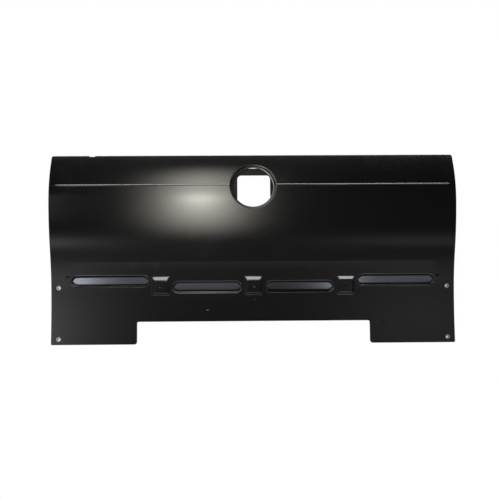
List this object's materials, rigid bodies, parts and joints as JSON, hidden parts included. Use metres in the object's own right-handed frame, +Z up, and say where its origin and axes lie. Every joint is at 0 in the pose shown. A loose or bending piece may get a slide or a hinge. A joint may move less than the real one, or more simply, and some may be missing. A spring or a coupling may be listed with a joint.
{
  "type": "pickup truck tailgate",
  "caption": "Bare pickup tailgate shell with a curved outer skin, round handle opening, pressed beads and pads, inner panel and rails.",
  "frame": {"origin": "middle of the hinge seat, the flat underside of the inner panel", "axes": "+X along the tailgate, +Y into the load bed, +Z up; the outer face looks towards -Y"},
  "size_m": [1.43, 0.109, 0.671],
  "materials": {
    "black_primer": "glossy black electrocoat primer",
    "zinc": "bright zinc plating"
  },
  "bodies": {
    "root": {"outer_skin": "black_primer", "inner_panel": "black_primer", "handle_bracket": "black_primer", "bottom_rail": "black_primer", "top_rail": "black_primer", "left_side_channel": "black_primer", "left_latch_plate": "black_primer", "left_strap_plate": "black_primer", "left_hinge_plate": "black_primer", "left_hat_stiffener": "black_primer", "left_leg_doubler": "black_primer", "right_side_channel": "black_primer", "right_latch_plate": "black_primer", "right_strap_plate": "black_primer", "right_hinge_plate": "black_primer", "right_hat_stiffener": "black_primer", "right_leg_doubler": "black_primer", "left_pad_nut": "black_primer", "middle_pad_nut": "black_primer", "right_pad_nut": "black_primer", "left_upper_rivet_nut": "zinc", "left_lower_rivet_nut": "zinc", "right_upper_rivet_nut": "zinc", "right_lower_rivet_nut": "zinc"}
  },
  "joints": []
}
